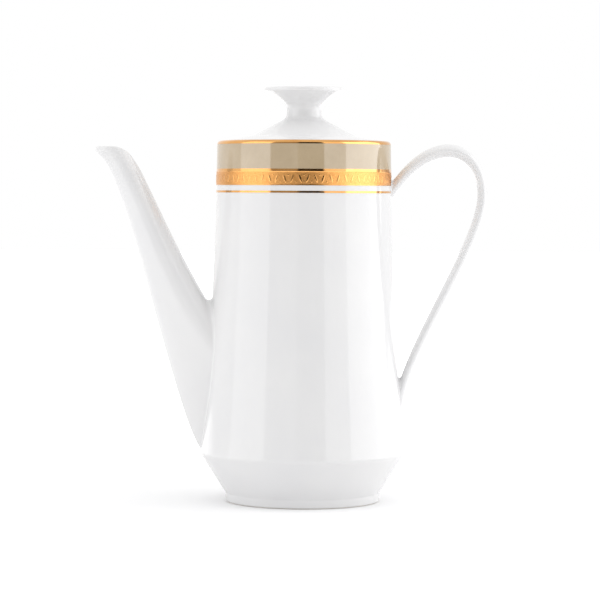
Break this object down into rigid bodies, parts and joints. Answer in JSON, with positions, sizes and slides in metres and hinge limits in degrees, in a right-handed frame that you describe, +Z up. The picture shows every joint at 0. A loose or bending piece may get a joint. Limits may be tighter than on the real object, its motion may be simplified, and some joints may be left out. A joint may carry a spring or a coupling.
{
  "type": "coffee pot",
  "caption": "Tall white porcelain coffee pot with a long spout, a loop handle, gold and beige neck bands and a lid with a mushroom knob.",
  "frame": {"origin": "centre of the foot ring, on the table that the pot stands on", "axes": "+Z up along the turning axis of the body and lid, -X towards the spout, +X towards the handle"},
  "size_m": [0.2191, 0.1138, 0.2313],
  "materials": {
    "porcelain": "gloss",
    "gold": "polished",
    "etched_gold": "satin",
    "beige_enamel": "gloss"
  },
  "bodies": {
    "pot": {"pot_body": "porcelain", "spout": "porcelain", "handle": "porcelain", "gold_rim_line": "gold", "beige_band": "beige_enamel", "gold_upper_line": "gold", "gold_relief_band": "etched_gold", "gold_lower_line": "gold"},
    "lid": {"lid_cover": "porcelain", "lid_knob": "porcelain", "lid_lug": "porcelain"}
  },
  "joints": [
    {"name": "lid_lift", "type": "slide", "parent": "pot", "child": "lid", "axis": [0, 0, 1], "range_m": [0, 0.06]}
  ]
}
